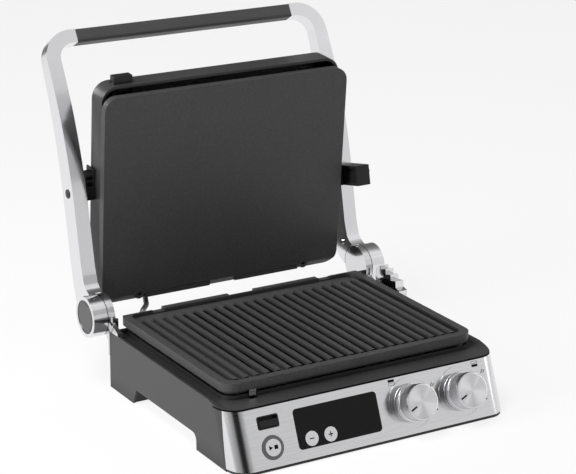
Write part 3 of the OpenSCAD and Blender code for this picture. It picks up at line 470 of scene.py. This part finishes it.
def plaque(outline, low, high, place):
    """Points and faces of a flat shape between two heights, put in place by a function."""
    count = len(outline)
    points = [place(a, b, low) for a, b in outline] + [place(a, b, high) for a, b in outline]
    faces = [tuple(range(count - 1, -1, -1)), tuple(range(count, 2 * count))]
    faces += [(i, (i + 1) % count, count + (i + 1) % count, count + i) for i in range(count)]
    return points, faces


def plaques(name, outlines, low, high, finish, body, place=on_panel):
    """Several flat shapes as one piece that rides on a body."""
    points = []
    faces = []
    for outline in outlines:
        more, sides = plaque(outline, low, high, place)
        faces += [tuple(i + len(points) for i in side) for side in sides]
        points += more
    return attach(add_mesh(name, points, faces, finish), body)


def bar(a0, b0, a1, b1):
    return [(a0, b0), (a1, b0), (a1, b1), (a0, b1)]


def disc(a, b, radius, count=28):
    turn = 2 * math.pi / count
    return [(a + radius * math.cos(i * turn), b + radius * math.sin(i * turn)) for i in range(count)]


def stroke(a0, b0, a1, b1, width):
    """A straight line of ink, as wide as the pen."""
    length = math.hypot(a1 - a0, b1 - b0)
    da = (b1 - b0) / length * width / 2
    db = (a1 - a0) / length * width / 2
    return [(a0 + da, b0 - db), (a1 + da, b1 - db), (a1 - da, b1 + db), (a0 - da, b0 + db)]


print("panel foot at", [round(v, 4) for v in panel_foot])

# %% [markdown]
# The symbols on the keys are plain ones: a minus, a plus, and a start and stop pair. On the real keys they are black
# inlays in shallow grooves. Each inlay is its own thin piece that moves with its key.

# %% Symbols on the keys
INK_DEPTH = (0.75, 1.14)
START_INK_DEPTH = (0.85, 1.24)
MINUS_AT = (-74.5, 19.7)
PLUS_AT = (-52.5, 19.7)
START_AT = (-119, 19.7)
SIGN_REACH = 2.6
SIGN_HALF = 0.5
PLAY_FROM, PLAY_TO, PLAY_HALF = -4.6, -0.6, 2.3
STOP_FROM, STOP_TO, STOP_HALF = 1.2, 5.2, 2


def level_bar(centre):
    a, b = centre
    return bar(a - SIGN_REACH, b - SIGN_HALF, a + SIGN_REACH, b + SIGN_HALF)


def upright_bars(centre):
    a, b = centre
    upper = bar(a - SIGN_HALF, b + SIGN_HALF, a + SIGN_HALF, b + SIGN_REACH)
    lower = bar(a - SIGN_HALF, b - SIGN_REACH, a + SIGN_HALF, b - SIGN_HALF)
    return [upper, lower]


def printing_ink():
    made = Finish("black_ink_and_shadow_strip", grey(0.003), 0.6)
    made.gloss(made.noise(40, 2), 0.55, 0.65)
    made.bump(made.noise(1400, 2), 0.08, 0.02 * MM)
    made.set(Specular_IOR_Level=0.06)
    return made.material


ink = printing_ink()
plaques("minus_inlay", [level_bar(MINUS_AT)], *INK_DEPTH, ink, "minus_key")
plaques("plus_inlay", [level_bar(PLUS_AT)] + upright_bars(PLUS_AT), *INK_DEPTH, ink, "plus_key")
start_a, start_b = START_AT
play_sign = [
    (start_a + PLAY_FROM, start_b - PLAY_HALF),
    (start_a + PLAY_TO, start_b),
    (start_a + PLAY_FROM, start_b + PLAY_HALF),
]
stop_sign = bar(start_a + STOP_FROM, start_b - STOP_HALF, start_a + STOP_TO, start_b + STOP_HALF)
plaques("start_inlay", [play_sign, stop_sign], *START_INK_DEPTH, ink, "start_key")
print("inlays: 3")

# %% [markdown]
# A few symbols are printed on the steel beside each knob: a small plate that shows whether the knob rules the
# upper or the lower one, and two short strokes and a dot at the knob's right. Printing is a film of ink, so each
# shape stands less than a tenth of a millimetre proud of the steel.

# %% Printed symbols beside the knobs
PRINT_DEPTH = (-0.05, 0.07)
PLATE_SIGNS = [(28.5, 56.2, True), (132, 56.2, False)]
HEAT_MARKS_AT = [(76, 45), (140, 47)]
DOTS_AT = [(77, 19), (139, 18)]
DOT_RADIUS = 0.8
DOT_CORNERS = 16


def plate_sign(a, b, upper_is_full):
    """Two plates over each other; the one that the knob rules is filled."""
    width, height, line, apart = 7.5, 2.6, 0.35, 0.4
    full_low = b + apart if upper_is_full else b - apart - height
    open_low = b - apart - height if upper_is_full else b + apart
    left_edge, right_edge = a - width / 2, a + width / 2
    return [
        bar(left_edge, full_low, right_edge, full_low + height),
        bar(left_edge, open_low, right_edge, open_low + line),
        bar(left_edge, open_low + height - line, right_edge, open_low + height),
        bar(left_edge, open_low + line, left_edge + line, open_low + height - line),
        bar(right_edge - line, open_low + line, right_edge, open_low + height - line),
    ]


def heat_marks(a, b):
    """Two short leaning strokes, one longer than the other."""
    return [stroke(a - 1.9, b - 2, a - 0.1, b + 2.3, 0.9), stroke(a + 0.8, b - 1.6, a + 2.2, b + 1.3, 0.9)]


printed = []
for across, upward, upper_is_full in PLATE_SIGNS:
    printed += plate_sign(across, upward, upper_is_full)
for across, upward in HEAT_MARKS_AT:
    printed += heat_marks(across, upward)
printed += [disc(across, upward, DOT_RADIUS, DOT_CORNERS) for across, upward in DOTS_AT]
plaques("panel_print", printed, *PRINT_DEPTH, ink, "base")
print("printed shapes:", len(printed))

# %% [markdown]
# Where the panel meets the deck, the gap between the deck's front edge and the steel lies in shadow and shows
# as a dark line right round the corner. That shadow is painted as a thin black strip that follows the panel's
# upper edge: straight across the front, and in an arc round each corner. The corners are arcs in the panel's own
# slant, so a point's height stays level while its slope changes.

# %% Painted shadow strip along the panel's upper edge
PANEL_LEAN = math.asin(-panel_in.z)
CORNER_RADIUS = 21.5
HALF_WIDTH = 164
SHADOW_STRIP_TOP = 61.4
SHADOW_STRIP_LOW = 59.7
SHADOW_STRIP_PROUD = 0.25
SHADOW_STRIP_DEEP = -1.5
PANEL_FOOT_Z = 4


def panel_outline(count=12):
    """Across and depth of the panel's outer edge, with depth counted inward from the face."""
    middle = HALF_WIDTH - CORNER_RADIUS
    turns = [math.radians(90) * i / count for i in range(count + 1)]
    first = [(-middle - CORNER_RADIUS * math.cos(t), CORNER_RADIUS * (1 - math.sin(t))) for t in turns]
    return first + [(-a, d) for a, d in reversed(first)]


def at_height(across, depth, height, proud):
    slope = (height - PANEL_FOOT_Z + depth * math.sin(PANEL_LEAN)) / math.cos(PANEL_LEAN)
    return on_panel(across, slope, proud - depth)


# Painted shadow: a black strip where the real grill has only a shaded gap between deck and panel.
def gap_shadow_strip():
    edge = panel_outline()
    points = []
    for across, depth in edge:
        for height, proud in ((SHADOW_STRIP_LOW, SHADOW_STRIP_PROUD), (SHADOW_STRIP_TOP, SHADOW_STRIP_PROUD), (SHADOW_STRIP_TOP, SHADOW_STRIP_DEEP),
                              (SHADOW_STRIP_LOW, SHADOW_STRIP_DEEP)):
            points.append(at_height(across, depth, height, proud))
    last = 4 * (len(edge) - 1)
    faces = [(0, 1, 2, 3), (last + 3, last + 2, last + 1, last)]
    for i in range(len(edge) - 1):
        for j in range(4):
            faces.append((4 * i + j, 4 * i + 4 + j, 4 * i + 4 + (j + 1) % 4, 4 * i + (j + 1) % 4))
    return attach(add_mesh("panel_gap_shadow", points, faces, ink), "base")


gap_shadow_strip()
print("gasket points:", len(panel_outline()))

# %% [markdown]
# The knobs are turned on a lathe, so their shape is one profile swept round an axis. Turning also leaves fine
# rings, which pull the highlight into two bright wedges. An anisotropic finish with a radial tangent shows that. A
# black groove points to the setting.

# %% Turned knobs
def turned_metal():
    made = Finish("turned_metal", grey(0.72), 0.3, 1.0)
    made.gloss(made.noise(90, 3), 0.26, 0.34)
    made.bump(made.noise(900, 2), 0.04, 0.02 * MM)
    tangent = made.tree.nodes.new("ShaderNodeTangent")
    tangent.direction_type = "RADIAL"
    tangent.axis = "Z"
    made.tree.links.new(tangent.outputs["Tangent"], made.shader.inputs["Tangent"])
    made.set(Anisotropic=0.95)
    return made.material


KNOB_PROFILE = [
    (0, 22.5), (16.2, 22.5), (16.3, 22.3), (16.7, 22.3), (16.8, 22.5), (17.5, 22.5), (18.1, 22.3), (18.4, 21.7),
    (18.7, 20), (19.2, 9), (19.25, 8.2), (19.0, 8.0), (19.0, 7.4), (19.3, 7.2), (19.8, 7), (20, 6.6),
    (20, 1.5), (19.6, 1.1), (0, 1.1),
]
KNOB_SEGMENTS = 96
POINTER_AIM = math.radians(204)
POINTER_REACH = (8.8, 16.6)
POINTER_WIDTH = 1.8
POINTER_DEPTH = (22.3, 22.56)
turned = turned_metal()


def lathe(name, profile, segments, finish):
    points = []
    faces = []
    step = 2 * math.pi / segments
    for radius, out in profile:
        for i in range(segments):
            points.append((radius * MM * math.cos(i * step), radius * MM * math.sin(i * step), out * MM))
    for ring in range(len(profile) - 1):
        here = ring * segments
        there = here + segments
        for i in range(segments):
            j = (i + 1) % segments
            faces.append((here + i, there + i, there + j, here + j))
    return add_mesh(name, points, faces, finish)


def knob(name, node, body, foot, across):
    made = lathe(name, KNOB_PROFILE, KNOB_SEGMENTS, turned)
    turn = Matrix((Vector((1, 0, 0)), panel_up, panel_out)).transposed().to_4x4()
    made.matrix_world = Matrix.Translation(foot) @ turn
    smooth = made.modifiers.new("smooth", "NODES")
    smooth.node_group = SMOOTHING
    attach(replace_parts(made, node), body)
    ends = [radius * v for radius in POINTER_REACH for v in (math.cos(POINTER_AIM), math.sin(POINTER_AIM))]
    line = stroke(across + ends[0], KNOB_UP + ends[1], across + ends[2], KNOB_UP + ends[3], POINTER_WIDTH)
    plaques(name + "_pointer", [line], *POINTER_DEPTH, ink, body)
    return made


knob("knob_left_turned", "left_knob", "knob_left", left_knob_foot, LEFT_KNOB_ACROSS)
knob("knob_right_turned", "right_knob", "knob_right", right_knob_foot, RIGHT_KNOB_ACROSS)
print("knob rings:", len(KNOB_PROFILE))

# %% [markdown]
# A soft sleeve carries the wires of the upper element from the base to the lid, so it bends when the lid moves.
# It crosses four joints on its way. It is drawn as four lengths of one tube, each of which spans one joint and
# ends where the next begins; none of them is attached to a moving part. The tube is built of rings round a smooth
# curve through the route's points.

# %% Wiring sleeve
SLEEVE_RADIUS = 3 * MM
PLATE_TO_FRAME = 36.99
SLEEVE_ROUTE = [
    (-112, 104, 48), (-112, 117, 48), (-112, 123, 48), (-111, 130, 49.5), (-110, 137, 51.5), (-108, 144, 54),
    (-105, 151, 56.5), (-101, 157, 58.5), (-97, 162, 60), (-92, 167, 61), (-88, 172, 61.5), (-85.5, 177.5, 62.5),
    (-84.2, 181.3, 65), (-84, 182.6, 68), (-84, 182.3, 70.8),
]
SLEEVE_BODIES = ["base", "hinge_collars", "handle", "lugs", "lid"]
ROUTE_STEPS = 4
# Where the four lengths end, in steps along the curve. The third ends halfway between two points of the route.
LENGTH_ENDS = [0, 8 * ROUTE_STEPS, 11 * ROUTE_STEPS, 12 * ROUTE_STEPS + ROUTE_STEPS // 2, 14 * ROUTE_STEPS]


def smooth_route(route, steps):
    """A Catmull-Rom curve: it passes through every point, with the neighbours giving its direction there."""
    ends = [route[0] * 2 - route[1]] + route + [route[-1] * 2 - route[-2]]
    line = []
    for i in range(1, len(ends) - 2):
        p0, p1, p2, p3 = ends[i - 1:i + 3]
        for j in range(steps):
            t = j / steps
            line.append(0.5 * (2 * p1 + (p2 - p0) * t + (2 * p0 - 5 * p1 + 4 * p2 - p3) * t ** 2
                               + (3 * p1 - p0 - 3 * p2 + p3) * t ** 3))
    return line + [route[-1]]


def tube(name, line, radius, finish, before, after, sides=20):
    """A tube round a line. before and after are its neighbours, so that two lengths meet in the same ring."""
    along = [before] + line + [after]
    points = []
    for i in range(1, len(along) - 1):
        forward = (along[i + 1] - along[i - 1]).normalized()
        side = forward.cross(Vector((0, 0, 1))).normalized()
        over = side.cross(forward)
        for k in range(sides):
            turn = 2 * math.pi * k / sides
            points.append(along[i] + (side * math.cos(turn) + over * math.sin(turn)) * radius)
    faces = [tuple(range(sides))]
    for i in range(len(line) - 1):
        for k in range(sides):
            n = (k + 1) % sides
            faces.append((i * sides + k, (i + 1) * sides + k, (i + 1) * sides + n, i * sides + n))
    faces.append(tuple(reversed(range(len(points) - sides, len(points)))))
    made = add_mesh(name, points, faces, finish)
    smooth = made.modifiers.new("smooth", "NODES")
    smooth.node_group = SMOOTHING
    return made


route = [Vector((a, b - PLATE_TO_FRAME, c)) * MM for a, b, c in SLEEVE_ROUTE]
sleeve_line = smooth_route(route, ROUTE_STEPS)
for k in range(len(SLEEVE_BODIES) - 1):
    first, last = LENGTH_ENDS[k:k + 2]
    share = sleeve_line[first:last + 1]
    before = sleeve_line[first - 1] if first else share[0] * 2 - share[1]
    after = sleeve_line[last + 1] if last < len(sleeve_line) - 1 else share[-1] * 2 - share[-2]
    piece = tube(f"sleeve_length_{k + 1}", share, SLEEVE_RADIUS, finishes["sleeve_grey"], before, after)
    if k == 0:
        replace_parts(piece, "wiring_sleeve")
    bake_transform(piece)
sleeve_length = sum((b - a).length for a, b in zip(sleeve_line, sleeve_line[1:]))
print("sleeve length in mm:", round(sleeve_length / MM, 1))

# %% [markdown]
# A product photograph is lit by a few large soft lamps: one above and to the left, one at each side. Their size
# matters more than their power, since metal shows them as bright patches. The floor and the world are white to
# the camera, and the floor still takes a faint shadow, so that the grill stands on something. Shiny pieces see
# something else: a surround that is bright at some angles and dark at others, and one grey card in front. A
# photographer puts up black screens for the same reason, since steel that mirrors only white looks like plastic.

# %% Studio
def panel_light(name, place, aim, width, height, power):
    data = bpy.data.lights.new(name, "AREA")
    data.shape = "RECTANGLE"
    data.size = width
    data.size_y = height
    data.energy = power
    lamp = bpy.data.objects.new(name, data)
    bpy.context.scene.collection.objects.link(lamp)
    lamp.location = place
    lamp.rotation_mode = "QUATERNION"
    lamp.rotation_quaternion = (Vector(aim) - Vector(place)).to_track_quat("-Z", "Y")
    return lamp


GRILL_MIDDLE = Vector((0, 0, 0.17))
# Each lamp's name, its place, its width and height in metres, and its power in watts
LAMPS = [
    ("lamp_above", (-0.9, -0.3, 2.0), 0.8, 0.8, 34),
    ("lamp_left", (-2.2, -0.1, 1.1), 1.0, 1.2, 42),
    ("lamp_right", (1.9, -0.9, 1.0), 0.9, 1.4, 6),
]
for name, place, width, height, power in LAMPS:
    panel_light(name, place, GRILL_MIDDLE, width, height, power)

# Degrees round from the front, counted to the right, and how bright the surround is there
SURROUND_LEVELS = [
    (-180, 0.16), (-125, 0.2), (-105, 1.0), (-80, 0.6), (-46, 0.3), (-38, 0.01), (-12, 0.01), (-4, 0.3), (18, 0.62),
    (34, 0.78), (70, 0.9), (110, 0.3), (140, 0.16),
]
AMBIENT = 0.12
FLOOR_SHOWS = 0.85
FLOOR_REACH = 6


def surround():
    """White paper for the camera, a soft glow for plain surfaces, and bright and dark parts for shiny ones."""
    world = bpy.data.worlds.new("studio")
    world.use_nodes = True
    bpy.context.scene.world = world
    nodes = world.node_tree.nodes
    link = world.node_tree.links.new
    place = nodes.new("ShaderNodeTexCoord")
    parts = nodes.new("ShaderNodeSeparateXYZ")
    forward = nodes.new("ShaderNodeMath")
    forward.operation = "MULTIPLY"
    forward.inputs[1].default_value = -1
    angle = nodes.new("ShaderNodeMath")
    angle.operation = "ARCTAN2"
    share = nodes.new("ShaderNodeMapRange")
    share.inputs["From Min"].default_value = -math.pi
    share.inputs["From Max"].default_value = math.pi
    ramp = nodes.new("ShaderNodeValToRGB")
    stops = ramp.color_ramp.elements
    stops[0].position = 0
    behind = SURROUND_LEVELS[0][1]
    stops[0].color = (behind, behind, behind, 1)
    stops[1].position = 1
    stops[1].color = (behind, behind, behind, 1)
    for degrees, bright in SURROUND_LEVELS[1:]:
        stops.new((degrees + 180) / 360).color = (bright, bright, bright, 1)
    cards = nodes.new("ShaderNodeBackground")
    glow = nodes["Background"]
    glow.inputs["Color"].default_value = (1, 1, 1, 1)
    glow.inputs["Strength"].default_value = AMBIENT
    paper = nodes.new("ShaderNodeBackground")
    paper.inputs["Color"].default_value = (1, 1, 1, 1)
    rays = nodes.new("ShaderNodeLightPath")
    shiny = nodes.new("ShaderNodeMixShader")
    shown = nodes.new("ShaderNodeMixShader")
    link(place.outputs["Generated"], parts.inputs["Vector"])
    link(parts.outputs["Y"], forward.inputs[0])
    link(parts.outputs["X"], angle.inputs[0])
    link(forward.outputs["Value"], angle.inputs[1])
    link(angle.outputs["Value"], share.inputs["Value"])
    link(share.outputs["Result"], ramp.inputs["Fac"])
    link(ramp.outputs["Color"], cards.inputs["Color"])
    link(rays.outputs["Is Glossy Ray"], shiny.inputs["Fac"])
    link(glow.outputs["Background"], shiny.inputs[1])
    link(cards.outputs["Background"], shiny.inputs[2])
    link(rays.outputs["Is Camera Ray"], shown.inputs["Fac"])
    link(shiny.outputs["Shader"], shown.inputs[1])
    link(paper.outputs["Background"], shown.inputs[2])
    link(shown.outputs["Shader"], nodes["World Output"].inputs["Surface"])


surround()


def floor_finish():
    made = Finish("floor_paper", (0.82, 0.82, 0.82), 0.9)
    made.bump(made.noise(700, 2), 0.05, 0.05 * MM)
    nodes = made.tree.nodes
    glow = nodes.new("ShaderNodeEmission")
    glow.inputs["Color"].default_value = (1, 1, 1, 1)
    rays = nodes.new("ShaderNodeLightPath")
    seen = nodes.new("ShaderNodeMath")
    seen.operation = "MAXIMUM"
    share = nodes.new("ShaderNodeMath")
    share.operation = "MULTIPLY"
    share.inputs[1].default_value = FLOOR_SHOWS
    mixed = nodes.new("ShaderNodeMixShader")
    made.tree.links.new(rays.outputs["Is Camera Ray"], seen.inputs[0])
    made.tree.links.new(rays.outputs["Is Glossy Ray"], seen.inputs[1])
    made.tree.links.new(seen.outputs["Value"], share.inputs[0])
    made.tree.links.new(share.outputs["Value"], mixed.inputs["Fac"])
    made.tree.links.new(made.shader.outputs["BSDF"], mixed.inputs[1])
    made.tree.links.new(glow.outputs["Emission"], mixed.inputs[2])
    made.tree.links.new(mixed.outputs["Shader"], nodes["Material Output"].inputs["Surface"])
    return made.material


def floor():
    mesh = bpy.data.meshes.new("floor")
    corners = [(FLOOR_REACH * a, FLOOR_REACH * b, 0) for a, b in ((-1, -1), (1, -1), (1, 1), (-1, 1))]
    mesh.from_pydata(corners, [], [(0, 1, 2, 3)])
    mesh.materials.append(floor_finish())
    made = bpy.data.objects.new("floor", mesh)
    bpy.context.scene.collection.objects.link(made)
    return made


CARD_MIDDLE = Vector((0.28, -0.70, 0.67))
CARD_ACROSS = Vector((0.235, 0.15, 0))
CARD_RISE = Vector((0, 0, 0.27))


def dark_card():
    """A grey card in front, which only shiny surfaces can see. It darkens the leaning top of the arm."""
    mesh = bpy.data.meshes.new("dark_card")
    corners = [CARD_MIDDLE + CARD_ACROSS * a + CARD_RISE * b for a, b in ((-1, -1), (1, -1), (1, 1), (-1, 1))]
    mesh.from_pydata([tuple(corner) for corner in corners], [], [(0, 1, 2, 3)])
    mesh.materials.append(moulded("card_grey", grey(0.4), 0.8, 0.9, 300, 0.05))
    made = bpy.data.objects.new("dark_card", mesh)
    bpy.context.scene.collection.objects.link(made)
    made.visible_camera = False
    made.visible_diffuse = False
    made.visible_shadow = False
    return made


floor()
dark_card()
bpy.context.scene.view_settings.view_transform = "Standard"
print("lamps:", len(LAMPS), "with a floor, a surround and a grey card")
